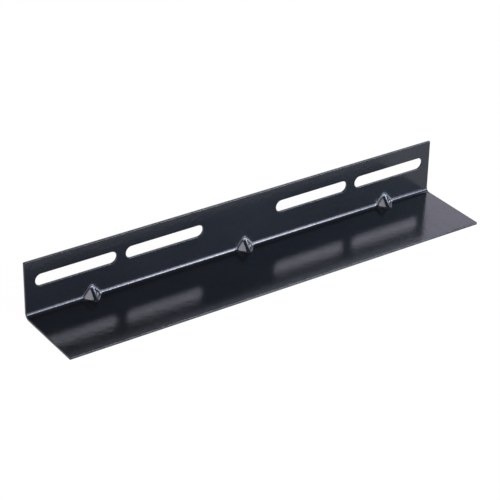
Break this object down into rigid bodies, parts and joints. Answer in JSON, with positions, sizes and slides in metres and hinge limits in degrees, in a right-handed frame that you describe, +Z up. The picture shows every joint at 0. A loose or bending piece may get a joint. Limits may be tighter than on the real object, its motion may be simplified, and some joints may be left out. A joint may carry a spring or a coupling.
{
  "type": "rack support angle",
  "caption": "L-shaped sheet-steel support angle with long slots in its upright, a plain shelf flange and gussets pressed into the bend, in black powder coat.",
  "frame": {"origin": "on the underside of the shelf flange, in the middle of the part's length and of its depth", "axes": "+X along the length, +Z up along the upright, +Y towards the upright's back, so the shelf's free edge is at -Y"},
  "size_m": [0.28, 0.05, 0.0355],
  "materials": {
    "powder_coat": "semi-gloss black powder coat"
  },
  "bodies": {
    "root": {"support_angle": "powder_coat"}
  },
  "joints": []
}
